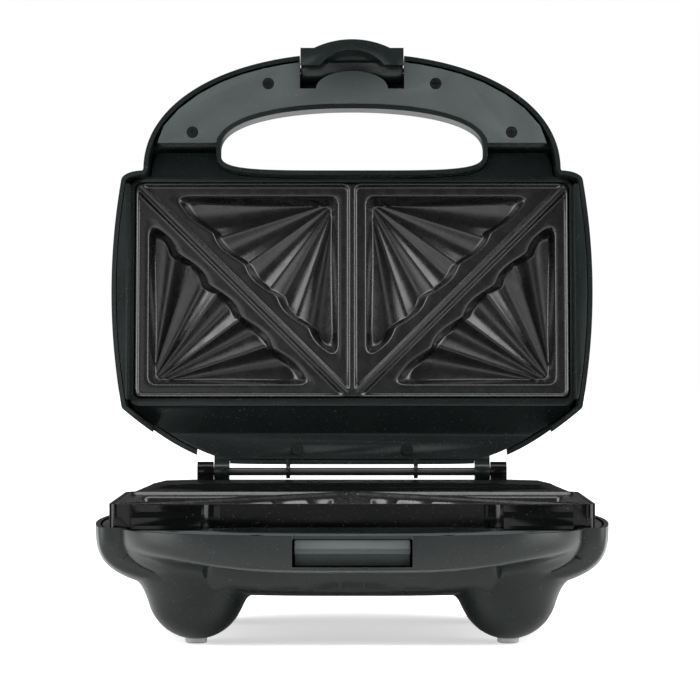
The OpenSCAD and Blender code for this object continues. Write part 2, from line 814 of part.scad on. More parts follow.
// A round lead through points, as one tube of eight sides
module lead(pts) {
    m = len(pts);
    ring = [
        for (k = [0:m - 1], a = [0:45:315])
            let (t = heading(pts, k), e = unit(cross(t, [0.31, 0.87, 0.38])), f = cross(t, e))
            pts[k] + lead_d / 2 * (cos(a) * e + sin(a) * f)
    ];
    skin = [
        for (k = [0:m - 2], a = [0:7], s = [0, 1])
            let (q = 8 * k + a, r = 8 * k + (a + 1) % 8)
            s == 0 ? [q, q + 8, r] : [r, q + 8, r + 8]
    ];
    ends = [[for (a = [0:7]) a], [for (a = [7:-1:0]) 8 * (m - 1) + a]];
    polyhedron(points = ring, faces = concat(skin, ends));
}

// Flanged bush in the rear wall that the mains cord passes through
module cord_gland() {
    color("black") at_base() translate([gland_x, base_back + 2.5, gland_z]) rotate([90, 0, 0]) difference() {
        union() {
            cylinder(d = gland_d + 4, h = 2.5, $fn = 48);
            cylinder(d = gland_d - 0.2, h = 7, $fn = 48);
            translate([0, 0, 5]) cylinder(d = gland_d + 2, h = 2, $fn = 48);
        }
        translate([0, 0, -1]) cylinder(d = cord_d, h = 12, $fn = 48);
    }
}

module base_frame_screws() {
    color(steel_colour) at_base() posts() screw(0, 0, post_top + 5, post_top - 13.4);
}

module base_handle_cover() {
    color(cover_colour) at_base() difference() {
        slab(base_rim - 0.4 - cover_t, base_rim - 0.4) cover_2d(true);
        each_cover_screw() translate([0, 0, base_rim - 6]) cylinder(r = screw_d / 2 + 0.2, h = 8, $fn = 32);
        each_cover_screw() translate([0, 0, base_rim - 0.4 - head_t])
            cylinder(d = 1.8 * screw_d + 0.4, h = 3, $fn = 32);
    }
}

// Handle cover's outline: the arch, less the hand hole, behind a straight edge, less the latch's slot
module cover_2d(base) {
    half = latch_w / 2 + latch_side_gap;
    difference() {
        intersection() {
            outline_2d(shell_t + lean_gap, base, true);
            box_2d(body_half, cover_back, reach);
        }
        hole_2d(shell_t + wall_gap);
        if (base) box_2d(half, latch_p - 9, reach + 1);
        if (!base) difference() {
            box_2d(half, latch_p - 11, reach + 1);
            translate([0, -(latch_p - 11)]) scale([latch_arch_w, 9]) circle(1, $fn = 48);
        }
    }
}

// The four cover screws: two near the feet of the arch and two beside the latch
module each_cover_screw() {
    both_sides() {
        translate([handle_half_w - 24.5, -(hole_front - 12), 0]) children();
        translate([42, -(reach - 15.5), 0]) children();
    }
}

module base_cover_screws() {
    color(steel_colour) at_base() each_cover_screw() screw(0, 0, base_rim - 11, base_rim - 0.4);
}

latch_p = reach - latch_r;
latch_z = lid_rim + 10;
hook_z = lid_rim - hook_reach;
keeper_z = hook_z + 4.4;
slot_z = hook_z - 1.2;

// Block inside the base's handle that the hooks catch under, sloped so that they ride over it
module latch_keeper() {
    half = latch_w / 2 - 0.4;
    front = latch_p + 4;
    color(cover_colour) at_base() across(half, [
        [front - 14, base_rim - 2.6], [front - 5, base_rim - 2.6], [front - 0.6, keeper_z + 2.4],
        [front - 0.6, keeper_z], [front - 6.6, keeper_z], [front - 6.6, slot_z + 0.05],
        [front - 8.6, slot_z + 0.05], [front - 8.6, base_rim - 5], [front - 14, base_rim - 5]
    ]);
}

module hinge_pin() {
    color("silver") at_base() rod(hinge_pin_d, -hinge_pin_len / 2, hinge_pin_len / 2, 0, hinge_z);
}

module foot_pad(x, p) {
    color([0.85, 0.85, 0.82]) at_base() translate([x, -p, 0]) rotate_extrude($fn = 48) polygon([
        [0, 0], [pad_d / 2 - 0.6, 0], [pad_d / 2, 0.6], [pad_d / 2, pad_proud + 1.9], [0, pad_proud + 1.9]
    ]);
}

module foot_pad_front_left() { foot_pad(-foot_x, front_foot_d); }
module foot_pad_front_right() { foot_pad(foot_x, front_foot_d); }
module foot_pad_rear_left() { foot_pad(-foot_x, rear_foot_d); }
module foot_pad_rear_right() { foot_pad(foot_x, rear_foot_d); }

// ---------------------------------------------------------------- lid

lamp_x = 12;
lamp_p = plate_front - 12;

module lid_shell() {
    color(shell_colour) at_lid() difference() {
        union() {
            difference() {
                dome(lid_rim, lid_profile, lid_squareness, 0, 0, false, 1);
                difference() {
                    translate([0, 0, -0.01])
                        dome(lid_rim, lid_profile, lid_squareness, shell_t, shell_t, false, 1);
                    slab(0, lid_rim + crown_h) hole_2d(shell_t);
                }
            }
            each_cover_screw() translate([0, 0, lid_rim + cover_t + 0.5])
                cylinder(d = 7, h = lid_handle_t - cover_t - 2.5, $fn = 32);
        }
        slab(0, lid_rim + crown_h) hole_2d();
        translate([-hump_half - 1, -recess_back - 4, 0])
            cube([2 * hump_half + 2, recess_back + 20, recess_z + 0.2]);
        across(body_half, [
            [recess_back + 7, lid_rim - 1], [recess_back + 7, lid_rim], [hump_back, recess_z + 0.2],
            [-20, recess_z + 0.2], [-20, lid_rim - 1]
        ]);
        ear_notches();
        latch_slot();
        each_cover_screw() cylinder(r = screw_d / 2 + 0.02, h = lid_rim + 12, $fn = 32);
        for (x = [-lamp_x, lamp_x]) translate([x, -lamp_p, lid_rim])
            cylinder(d = lamp_d + 0.4, h = crown_h + 9, $fn = 48);
    }
}

// Notches in the lid's back edge for the hinge ears and the two ribs
module ear_notches() {
    top = hinge_z + ear_r + 0.4;
    both_sides() {
        translate([lid_ear_x - wall_gap, -lid_back - 8.4, lid_rim])
            cube([base_ear_x + base_ear_w - lid_ear_x + 2 * wall_gap, 25, top - lid_rim]);
        translate([rib_x - wall_gap, -lid_back - 3.2, lid_rim])
            cube([2 + 2 * wall_gap, 20, hinge_z + 3 - lid_rim]);
    }
}

// The slot at the handle's tip that the latch turns in
module latch_slot() {
    half = latch_w / 2 + latch_side_gap;
    translate([-half, -reach - 2, lid_rim - 1]) cube([2 * half, reach + 2 - latch_p, lid_handle_t + 6]);
    translate([-half, -latch_p, latch_z]) rotate([0, 90, 0])
        cylinder(r = latch_r + 0.5, h = 2 * half, $fn = 64);
}

module lid_frame() {
    skin = 1.8;
    inset = shell_t + wall_gap;
    color(shell_colour) at_lid() difference() {
        union() {
            intersection() {
                union() {
                    slab(lid_rim + 0.1, lid_rim + skin) difference() {
                        box_2d(body_half, recess_front, plate_front - 2);
                        swept_2d();
                    }
                    slab(lid_rim + 0.3, upper_land + 1) difference() {
                        intersection() {
                            raised_2d(skirt_gap + skin);
                            box_2d(body_half, recess_front + 0.2, plate_front - 2.2);
                        }
                        swept_2d();
                    }
                    slab(upper_land + 0.4, upper_land + plate_t + 1.7) difference() {
                        raised_2d(skirt_gap + skin + 0.1);
                        plate_2d(-frame_t);
                        hole_2d(inset);
                    }
                    rear_recess(skin);
                }
                dome(lid_rim, lid_profile, lid_squareness, inset, inset, false, 1);
            }
            lid_knuckles();
        }
        slab(upper_land - 1, upper_land + plate_t + 0.1) plate_2d(fit);
        rod(hinge_pin_d + 2 * pin_clear, -rear_half, rear_half, 0, hinge_z);
        each_frame_screw() translate([0, 0, recess_z - 2]) cylinder(r = screw_d / 2 + 0.2, h = 20, $fn = 32);
        each_frame_screw() translate([0, 0, recess_z - 2])
            cylinder(d = 1.8 * screw_d + 0.4, h = 2.5, $fn = 32);
    }
}

// Plan that the lid's skirt keeps clear of: the raised frame, and its rear corners as the lid swings
module swept_2d() {
    for (d = [0, 1.8, 3.6]) translate([0, d]) raised_2d(skirt_gap);
}

// Slope and floor that clear the base's hump
module rear_recess(skin) {
    z = upper_land + 0.4;
    back = lid_back + shell_t + wall_gap + 0.1;
    across(body_half, [
        [recess_front + 1, z], [recess_front - 0.6, z], [recess_back - 0.6, recess_z], [back, recess_z],
        [back, recess_z + skin], [recess_back, recess_z + skin], [recess_front + 1, z + skin]
    ]);
}

// Ears that turn on the pin, each with a heel that stops the lid, and two thin ribs near the middle
module lid_knuckles() {
    both_sides() {
        rod(2 * ear_r, lid_ear_x, lid_ear_x + lid_ear_w, 0, hinge_z);
        translate([lid_ear_x, -lid_back - 3, hinge_z - 2.2]) cube([lid_ear_w, lid_back + 4, 6]);
        translate([lid_ear_x, -lid_back - 8, recess_z + 0.1]) cube([lid_ear_w, 6, 5]);
        translate([lid_ear_x, 0, hinge_z]) cube([lid_ear_w, heel_out, heel_up]);
        rod(2 * ear_r - 3, rib_x, rib_x + 2, 0, hinge_z);
        translate([rib_x, -lid_back - 4, recess_z + 0.2]) cube([2, lid_back + 4, 4.2]);
    }
}

frame_screw_x = 27.5;
frame_screw_p = 11;
module each_frame_screw() {
    both_sides() translate([frame_screw_x, -frame_screw_p, 0]) children();
}

module lid_frame_screws() {
    color(steel_colour) at_lid() each_frame_screw() screw(0, 0, recess_z + 8, recess_z + 0.5 - head_t);
}

module upper_plate() {
    color(plate_colour) at_lid() turned() plate_casting();
}

module upper_heater() {
    color(steel_colour) at_lid() turned() heater_loop();
}

module upper_reflector() {
    color(steel_colour) at_lid() turned() reflector_tray();
}

module upper_plate_screws() {
    color(steel_colour) at_lid() turned() reflector_screws();
}

lid_reflector_z = upper_land + reflector_drop;

// Thermal fuse in its sleeve, clipped on the back of the reflector
fuse_p = plate_mid + 12;
fuse_z = lid_reflector_z + 2.05;
module thermal_fuse() {
    color("ivory") at_lid() rod(4, -14, 14, fuse_p, fuse_z);
}

// Leads from the hinge to the fuse and the heater's two pins
module lid_leads() {
    over = lid_reflector_z + lead_d / 2 + 0.1;
    z = upper_land + heater_drop;
    start = -plate_back - 2;
    x0 = -heater_pin_x - 0.4;
    x1 = -tray_half - 3.6;
    near = plate_mid - heater_half_gap;
    far = plate_mid + heater_half_gap;
    color(wire_colour) at_lid() {
        lead([
            [46, start, z], [44, start - 4, z + 2.6], [42, start - 10, over], [38, -plate_mid + 15, over],
            [19, -fuse_p + 5, over], [14.6, -fuse_p, fuse_z]
        ]);
        lead([
            [-14.6, -fuse_p, fuse_z], [-19, -fuse_p + 5, over], [-38, -plate_mid + 15, over],
            [-42, start - 10, over], [-50, start - 2, over - 1.4], [x1 - 3, start - 8, z + 0.8],
            [x1 - 3, -far - 1, z + 0.5], [x0 - 5, -far - 3.5, z], [x0, -far, z]
        ]);
        lead([
            [-33, start, z], [-44, start - 8, z], [-70, start - 10.2, z], [x1, start - 17, z],
            [x1, -near, z], [x0, -near, z]
        ]);
    }
}

module handle_cover() {
    color(cover_colour) at_lid() difference() {
        union() {
            slab(lid_rim + 0.3, lid_rim + 0.3 + cover_t) cover_2d(false);
            slab(lid_rim + 0.3, lid_rim + 6) intersection() {
                cover_2d(false);
                box_2d(body_half, cover_back, cover_back + 1.6);
            }
        }
        each_cover_screw() translate([0, 0, lid_rim - 6]) cylinder(r = screw_d / 2 + 0.2, h = 12, $fn = 32);
        each_cover_screw() translate([0, 0, lid_rim - 1])
            cylinder(d = 1.8 * screw_d + 0.4, h = 1.4 + head_t, $fn = 32);
    }
}

module handle_cover_screws() {
    color(steel_colour) at_lid() each_cover_screw() screw(0, 0, lid_rim + 11.5, lid_rim + 0.4);
}

module lamp_lens(x, c) {
    top = lid_rim + station(lid_profile, lamp_p);
    color(c) at_lid() translate([x, -lamp_p, 0]) {
        translate([0, 0, top - 4]) cylinder(d = lamp_d, h = 4.2, $fn = 48);
        translate([0, 0, top + 0.2]) cylinder(d1 = lamp_d, d2 = lamp_d - 1.6, h = 0.7, $fn = 48);
    }
}

module power_lamp_lens() { lamp_lens(-lamp_x, "red"); }
module ready_lamp_lens() { lamp_lens(lamp_x, "green"); }

// Bridge under the lenses with the two neon lamps standing in it
module lamp_holder() {
    top = lid_rim + station(lid_profile, lamp_p) - 4.3;
    color("white") at_lid() {
        for (x = [-lamp_x, lamp_x]) translate([x, -lamp_p, top - 3.6]) cylinder(d = 5, h = 3.6, $fn = 32);
        translate([-lamp_x - 6, -lamp_p - 4, top - 5]) cube([2 * lamp_x + 12, 8, 1.5]);
    }
}

// ---------------------------------------------------------------- latch

// Turns on its pin at the handle's tip: two hooks, a plate across, an arch and a thumb tab
module latch() {
    half = latch_w / 2;
    front = reach;
    inner = latch_p + 4;
    color(shell_colour) at_lid() difference() {
        union() {
            translate([-half, -latch_p, latch_z]) rotate([0, 90, 0])
                cylinder(r = latch_r, h = latch_w, $fn = 64);
            translate([-half, -front, hook_z]) cube([latch_w, front - inner, latch_z - hook_z]);
            across(half, [
                [inner + 0.5, hook_z], [inner - 5.6, hook_z], [inner - 5.6, hook_z + 2.2],
                [inner + 0.5, keeper_z - 0.4]
            ]);
            thumb_tab();
        }
        rod(latch_pin_d + 2 * pin_clear, -half - 1, half + 1, latch_p, latch_z);
        slab(hook_z - 1, lid_rim + 3.6) translate([0, -(inner - 12)])
            scale([latch_arch_w, 14]) circle(1, $fn = 48);
    }
}

// Lens-shaped tab: part of a wide drum, cut to the handle's face
module thumb_tab() {
    r = (pow(tab_half_w, 2) + pow(tab_proud, 2)) / (2 * tab_proud);
    intersection() {
        translate([0, -(reach + tab_proud - r), hook_z]) cylinder(r1 = r, r2 = r - 2, h = 15, $fn = 128);
        translate([-tab_half_w, -reach - tab_proud, hook_z]) cube([2 * tab_half_w, tab_proud + 1, 15]);
    }
}

module latch_pin() {
    color("silver") at_lid() rod(latch_pin_d, -latch_w / 2 - 4, latch_w / 2 + 4, latch_p, latch_z);
}

// Leaf spring behind the latch, screwed to the cover
module latch_spring() {
    color("silver") at_lid() across(5, [
        [latch_p - 18, lid_rim + cover_t + 0.4], [latch_p - 8.4, lid_rim + cover_t + 0.4],
        [latch_p - 7.5, latch_z - 1], [latch_p - 7.9, latch_z - 1],
        [latch_p - 8.8, lid_rim + cover_t + 0.8], [latch_p - 18, lid_rim + cover_t + 0.8]
    ]);
}

base_shell();
base_frame();
lower_plate();
lower_heater();
lower_reflector();
lower_plate_screws();
thermostat();
terminal_block();
earth_tag();
base_leads();
cord_gland();
base_frame_screws();
base_handle_cover();
base_cover_screws();
latch_keeper();
hinge_pin();
foot_pad_front_left();
foot_pad_front_right();
foot_pad_rear_left();
foot_pad_rear_right();
lid_shell();
lid_frame();
upper_plate();
upper_heater();
upper_reflector();
upper_plate_screws();
thermal_fuse();
lid_leads();
lid_frame_screws();
handle_cover();
handle_cover_screws();
power_lamp_lens();
ready_lamp_lens();
lamp_holder();
latch();
latch_pin();
latch_spring();
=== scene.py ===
import json
import math
import bpy
import bmesh
import numpy as np
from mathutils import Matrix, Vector

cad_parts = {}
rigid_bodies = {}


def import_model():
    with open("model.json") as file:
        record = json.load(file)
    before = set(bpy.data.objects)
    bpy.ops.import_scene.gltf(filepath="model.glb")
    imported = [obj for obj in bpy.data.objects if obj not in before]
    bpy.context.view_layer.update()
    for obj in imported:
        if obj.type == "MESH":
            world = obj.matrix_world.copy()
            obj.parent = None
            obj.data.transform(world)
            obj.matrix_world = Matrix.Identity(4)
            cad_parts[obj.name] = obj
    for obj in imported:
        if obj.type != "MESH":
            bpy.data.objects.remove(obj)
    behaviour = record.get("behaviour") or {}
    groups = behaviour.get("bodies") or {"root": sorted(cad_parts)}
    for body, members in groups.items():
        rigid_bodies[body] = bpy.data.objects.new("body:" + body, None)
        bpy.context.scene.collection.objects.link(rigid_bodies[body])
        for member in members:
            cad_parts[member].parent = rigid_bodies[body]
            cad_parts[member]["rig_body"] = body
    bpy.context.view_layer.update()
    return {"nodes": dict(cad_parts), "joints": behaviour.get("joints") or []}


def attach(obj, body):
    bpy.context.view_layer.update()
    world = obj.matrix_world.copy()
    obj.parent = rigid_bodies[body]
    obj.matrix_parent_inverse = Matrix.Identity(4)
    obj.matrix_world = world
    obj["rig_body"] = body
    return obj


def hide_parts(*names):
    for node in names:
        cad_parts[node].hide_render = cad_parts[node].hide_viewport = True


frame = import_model()
nodes = frame["nodes"]
mm = 0.001
print("frame loaded:", len(nodes), "nodes")

# Places shared with the solids, in millimetres with the lid closed: x across, p forward from the hinge, z up
body = {
    "plateWidth": 218.2, "plateDepth": 108.6, "plateBack": 36.6, "matingZ": 65.0,
    "baseRim": 54.0, "lidRim": 55.0, "crown": 39, "belly": 33, "lidHandle": 18.5, "baseHandle": 15.5,
    "wall": 2.2, "openDegrees": 96,
}
outline = {
    "halfWidth": 120.0, "sideBow": 4.8, "bowMargin": 2, "hingeHalf": 64.0, "lidBack": 3.5, "baseBack": 7.0,
    "flankGap": 6, "flankPower": 0.625, "rearHalf": 79.4, "rearEnd": 9.5,
    "handleHalf": 104.5, "cornerRun": 5, "archPower": 2.15, "archRoot": 0.465, "barDepth": 28.2,
}
hole = {"half": 65.8, "depth": 31.4, "back": 149.9, "middle": 0.357, "frontPower": 2.3, "backPower": 4.5}
hingePoint = np.array(list(next(j for j in frame["joints"] if j["name"] == "lid_hinge")["pos_m"]))
openTurn = -math.radians(body["openDegrees"])
plateMid = body["plateBack"] + body["plateDepth"] / 2
plateFront = body["plateBack"] + body["plateDepth"]
flankFront = body["plateBack"] - outline["flankGap"]
holeMid = hole["back"] + hole["depth"] * hole["middle"]
holeFront = hole["back"] + hole["depth"]
reach = holeFront + outline["barDepth"]

# Heights over the rim, and the power of the section across, at stations along p
lidProfile = [
    (3.5, 29), (17.5, 35), (48.6, 38.2), (plateMid, body["crown"]), (plateFront - 26, 37.6),
    (plateFront - 4, 33), (157.5, 24.5), (166.9, 20), (holeFront - 8, body["lidHandle"]),
    (reach - 10, body["lidHandle"]), (reach - 3, 16.1), (reach, 11.5),
]
baseProfile = [
    (-7, 27), (10, 31), (36.6, body["belly"]), (130, 32.4), (plateFront, 30.5), (154.9, 25), (163.9, 17.5),
    (holeFront - 4, body["baseHandle"]), (reach - 4, body["baseHandle"]), (reach, 12.5),
]
lidPowers = [(plateFront - 30, 3.2), (hole["back"], 6)]
basePowers = [(plateFront, 3.4), (holeFront, 4)]
feet = {"x": 71.7, "front": 130.0, "rear": 30.0, "radius": 22.6, "z": 24.4, "steep": 0.955, "fillet": 9.0}
skin = {
    "rays": 560, "steps": 86, "softening": 24, "spread": 1.5, "gather": 2.4, "lidShare": 0.992,
    "holeRound": 2.2, "holePower": 3, "edgeRound": 2.6, "edgeFrom": 9, "edgeLeast": 0.02, "edgePower": 4,
}


# Closed place (x, p, z in mm) to the row frame in metres; the lid's points are swung open about the hinge
def placed(x, p, z, onLid):
    y = hingePoint[1] - p * mm
    x, y, z = np.broadcast_arrays(x * mm, y, z * mm)
    if onLid:
        c, s = math.cos(openTurn), math.sin(openTurn)
        dy, dz = y - hingePoint[1], z - hingePoint[2]
        y, z = hingePoint[1] + c * dy - s * dz, hingePoint[2] + s * dy + c * dz
    return np.stack([x, y, z], axis=-1)


# Smooth step from 0 to 1
def eased(t):
    t = np.clip(t, 0, 1)
    return t * t * (3 - 2 * t)


# Smaller of two fields, rounded over k where they meet
def softMin(a, b, k):
    h = np.clip(0.5 + 0.5 * (b - a) / k, 0, 1)
    return b + (a - b) * h - k * h * (1 - h)


def softMax(a, b, k):
    return -softMin(-a, -b, k)


# Each row of an array eased towards its neighbours round the ring, again and again
def evened(values):
    for turn in range(skin["softening"]):
        values = (np.roll(values, 1, 0) + 2 * values + np.roll(values, -1, 0)) / 4
    return values


# Height between listed stations: a cubic whose slope at a station is the mean of the slopes beside it
def station(table, p):
    at = np.array([q[0] for q in table], float)
    value = np.array([q[1] for q in table], float)
    slope = np.diff(value) / np.diff(at)
    lean = np.concatenate([slope[:1], (slope[1:] + slope[:-1]) / 2, slope[-1:]])
    k = np.clip(np.searchsorted(at, p, side="right") - 1, 0, len(at) - 2)
    gap = at[k + 1] - at[k]
    t = np.clip((p - at[k]) / gap, 0, 1)
    return (value[k] + (value[k + 1] - value[k]) * eased(t)
            + gap * t * (1 - t) * (lean[k] * (1 - t) - lean[k + 1] * t))


# Half width of the body at depth q: full at the middle of the plate, less by a parabola either way
def sideAt(q):
    return outline["halfWidth"] - outline["sideBow"] * (
        (q - plateMid) / (body["plateDepth"] / 2 + outline["bowMargin"])) ** 2


# Half width of the outline at depth p: bowed sides, a flank that runs in to the hinge, and the arched handle
def halfWidth(p, isBase):
    p = np.asarray(p, float)
    half, run, rearEnd = outline["hingeHalf"], outline["cornerRun"], outline["rearEnd"]
    flankT = np.clip((p - outline["lidBack"]) / (flankFront - outline["lidBack"]), 0, 1)
    flank = half + (sideAt(flankFront) - half) * flankT ** outline["flankPower"]
    cornerT = np.clip((p - hole["back"] + run) / run, 0, 1)
    handleHalf = outline["handleHalf"]
    corner = handleHalf + (sideAt(hole["back"] - run) - handleHalf) * np.sqrt(1 - cornerT ** 2)
    archT = np.clip((p - hole["back"]) / (reach - hole["back"]), 0, 1)
    arch = handleHalf * np.clip(1 - archT ** outline["archPower"], 0, 1) ** outline["archRoot"]
    w = np.where(p < flankFront, flank, np.where(p < hole["back"] - run, sideAt(p),
                 np.where(p < hole["back"], corner, arch)))
    if isBase:  # the base's rear runs in less than the lid's
        rearT = np.clip((p + outline["baseBack"]) / (rearEnd + outline["baseBack"]), 0, 1)
        flankAt = half + (sideAt(flankFront) - half) \
            * ((rearEnd - outline["lidBack"]) / (flankFront - outline["lidBack"])) ** outline["flankPower"]
        w = np.where(p < rearEnd, outline["rearHalf"] + (flankAt - outline["rearHalf"]) * rearT ** 2, w)
    return w


# Closed outline as points a constant step apart, from the middle of the back edge round and back to it
def outlineLoop(isBase, count):
    back = -outline["baseBack"] if isBase else outline["lidBack"]
    edgePoints, rearRun = 80, 12
    q = np.linspace(0, 1, 2400)
    ps = np.unique(np.concatenate([back + (reach - back) * q, hole["back"] - outline["cornerRun"] * q ** 3,
                                   reach - (reach - holeFront) * q ** 4, back + rearRun * q ** 3]))
    w = halfWidth(ps, isBase)
    w[-1] = 0
    edge = np.linspace(0, w[0], edgePoints)[:-1]
    x = np.concatenate([edge, w])
    p = np.concatenate([np.full(edgePoints - 1, back), ps])
    along = np.concatenate([[0], np.cumsum(np.hypot(np.diff(x), np.diff(p)))])
    at = (np.arange(count // 2) + 0.5) / (count // 2) * along[-1]
    hx, hp = np.interp(at, along, x), np.interp(at, along, p)
    return np.concatenate([hx, -hx[::-1]]), np.concatenate([hp, hp[::-1]])


# Distance from the hole's centre to its edge along a direction: a superellipse, flatter behind than in front
def holeRadius(dx, dp):
    ahead = dp >= 0
    n = np.where(ahead, hole["frontPower"], hole["backPower"])
    b = np.where(ahead, holeFront - holeMid, holeMid - hole["back"])
    return ((np.abs(dx) / hole["half"]) ** n + (np.abs(dp) / b) ** n) ** (-1 / n)


# Height of a shell over its rim: h(p) (1 - |x/w|^n)^(1/n), a superellipse across that changes with depth. It
# is averaged over neighbouring rays, so that the shoulder at the handle runs out softly into the dome.
def domeHeight(x, p, isBase):
    h = station(baseProfile if isBase else lidProfile, p)
    n = station(basePowers if isBase else lidPowers, p)
    u = np.clip(np.abs(x) / np.maximum(halfWidth(p, isBase), 1e-3), 0, 1)
    height = evened(h * (1 - u ** n) ** (1 / n))
    if isBase:  # each foot is a ball carried on outwards as a steep cone, and blended into the belly
        for fp in (feet["front"], feet["rear"]):
            rho = np.hypot(np.abs(x) - feet["x"], p - fp)
            r, turn = feet["radius"], feet["steep"] * feet["radius"]
            ball = np.sqrt(np.maximum(r * r - np.minimum(rho, turn) ** 2, 0))
            cone = np.maximum(rho - turn, 0) * turn / math.sqrt(r * r - turn * turn)
            height = softMax(height, body["baseRim"] - feet["z"] + ball - cone, feet["fillet"])
    return height


def smoothed(mesh, angle):
    mesh.shade_smooth()
    mesh.set_sharp_from_angle(angle=math.radians(angle))


# A mesh object of its points and faces, with smooth faces and sharp edges past an angle
def meshObject(name, points, faces, angle=40):
    mesh = bpy.data.meshes.new(name)
    listed = faces.tolist() if isinstance(faces, np.ndarray) else faces
    mesh.from_pydata(np.asarray(points, float).reshape(-1, 3).tolist(), [], listed)
    mesh.validate()
    obj = bpy.data.objects.new(name, mesh)
    bpy.context.scene.collection.objects.link(obj)
    smoothed(mesh, angle)
    return obj


# Faces of a grid of rows by columns; wrapped closes the rows into a ring, flipped turns the faces over
def gridFaces(rows, cols, wrapped=False, flipped=False):
    r = np.arange(rows if wrapped else rows - 1)[:, None]
    c = np.arange(cols - 1)[None, :]
    a = r * cols + c
    b = ((r + 1) % rows) * cols + c
    quad = np.stack([a, a + 1, b + 1, b] if not flipped else [a, b, b + 1, a + 1], axis=-1)
    return quad.reshape(-1, 4)


# Bakes an object's modifiers into its mesh
def baked(obj, angle=40):
    bpy.context.view_layer.update()
    shape = obj.evaluated_get(bpy.context.evaluated_depsgraph_get())
    mesh = bpy.data.meshes.new_from_object(shape)
    obj.modifiers.clear()
    obj.data = mesh
    smoothed(mesh, angle)
    return obj


# A straight bar across the width whose section is a polygon of (p, z) points
def acrossBar(name, fromX, toX, section, onLid):
    q = np.array(section, float)
    n = len(q)
    area = np.sum(q[:, 0] * np.roll(q[:, 1], -1) - np.roll(q[:, 0], -1) * q[:, 1])
    if area > 0:
        q = q[::-1]
    points = np.concatenate([placed(fromX, q[:, 0], q[:, 1], onLid), placed(toX, q[:, 0], q[:, 1], onLid)])
    faces = [list(range(n))[::-1], list(range(n, 2 * n))]
    faces += [[k, (k + 1) % n, n + (k + 1) % n, n + k] for k in range(n)]
    return meshObject(name, points, faces)


# Takes the cutters away from an object, and says so if a cut takes most of it
def carved(obj, cutters):
    for cutter in cutters:
        step = obj.modifiers.new("cut", "BOOLEAN")
        step.operation, step.solver, step.object = "DIFFERENCE", "MANIFOLD", cutter
        before = len(obj.data.polygons)
        baked(obj)
        if len(obj.data.polygons) < before // 4:
            print("cut went wrong on", obj.name, cutter.name, before, len(obj.data.polygons))
        bpy.data.objects.remove(cutter)
    return obj


# A shell as a ring of rays that run from the edge of the hand hole to the outline, their angles evened out so
# that none cross. Along a ray the height is the dome's, times a quarter round at the hole and at the outline.
def shellSkin(name, isBase):
    rays, steps = skin["rays"], skin["steps"]
    ox, op = outlineLoop(isBase, rays)
    turned = 2 * math.pi * np.arange(rays) / rays
    angle = evened(np.unwrap(np.arctan2(op - holeMid, ox)) - turned) + turned
    radius = holeRadius(np.cos(angle), np.sin(angle))
    ix, ip = radius * np.cos(angle), holeMid + radius * np.sin(angle)
    length = np.hypot(ox - ix, op - ip)[:, None]
    s = np.linspace(0, 1, steps + 1)
    s = (1 - (1 - s ** skin["spread"]) ** skin["gather"])[None, :]
    x, p = ix[:, None] + (ox - ix)[:, None] * s, ip[:, None] + (op - ip)[:, None] * s
    height = domeHeight(x, p, isBase)
    fromHole = np.clip(1 - length * s / skin["holeRound"], 0, 1)
    height = height * (1 - fromHole ** skin["holePower"]) ** (1 / skin["holePower"])
    blunt = np.clip(height[:, -2:-1] / skin["edgeFrom"], 0, 1) * skin["edgeRound"] + skin["edgeLeast"]
    fromEdge = np.clip(1 - length * (1 - s) / blunt, 0, 1)
    height = height * (1 - fromEdge ** skin["edgePower"]) ** (1 / skin["edgePower"])
    z = body["baseRim"] - height if isBase else body["lidRim"] + skin["lidShare"] * height
    obj = meshObject(name, placed(x, p, z, not isBase), gridFaces(rays, steps + 1, True, not isBase))
    wall = obj.modifiers.new("wall", "SOLIDIFY")
    wall.thickness, wall.offset = body["wall"] * mm, -1
    return baked(obj)


print("outlines ready")

# The latch's slot runs through both shells; the lid is also cut away over the hinge, where the knuckles stand
latchSlot = {
    "half": 26.2, "bottom": 40.4, "top": 60, "deep": 13.5, "past": 4, "lidBottom": 50, "lidTop": 80,
    "back": 202.5, "roundZ": 65.0, "round": 7.5, "roundStep": 12,
}
slotFront = reach + latchSlot["past"]
baseShell = shellSkin("base_shell_skin", True)
baseSection = [(reach - latchSlot["deep"], latchSlot["bottom"]), (slotFront, latchSlot["bottom"]),
               (slotFront, latchSlot["top"]), (reach - latchSlot["deep"], latchSlot["top"])]
carved(baseShell, [acrossBar("slot", -latchSlot["half"], latchSlot["half"], baseSection, False)])
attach(baseShell, "base")
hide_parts("base_shell")

lidShell = shellSkin("lid_shell_skin", False)
back, low, high = latchSlot["back"], latchSlot["lidBottom"], latchSlot["lidTop"]
slotSection = [(slotFront, low), (slotFront, high), (back, high)]
for a in np.radians(np.arange(0, 181, latchSlot["roundStep"])):
    along, up = latchSlot["round"] * math.sin(a), latchSlot["round"] * math.cos(a)
    slotSection.append((back - along, latchSlot["roundZ"] + up))
slotSection.append((back, low))
rearCuts = {
    "hump": (99.5, [(-16, 40), (23.8, 40), (23.8, 71), (-16, 71)]),
    "slope": (125, [(26.8, 50), (26.8, 55), (9.5, 71), (-20, 71), (-20, 50)]),
}
notches = [  # inner x, outer x, depth p, top z
    (61.2, 77.7, 11.9, 78.2), (30.7, 33.3, 6.7, 75.8),
]
cuts = [acrossBar("slot", -latchSlot["half"], latchSlot["half"], slotSection, True)]
cuts += [acrossBar(name, -half, half, section, True) for name, (half, section) in rearCuts.items()]
for side in (-1, 1):
    for inside, outside, deep, top in notches:
        low, high = sorted((side * inside, side * outside))
        cuts.append(acrossBar("notch", low, high, [(-9, 50), (deep, 50), (deep, top), (-9, top)], True))
carved(lidShell, cuts)
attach(lidShell, "lid")
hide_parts("lid_shell")
print("shells made:", len(baseShell.data.polygons), len(lidShell.data.polygons))

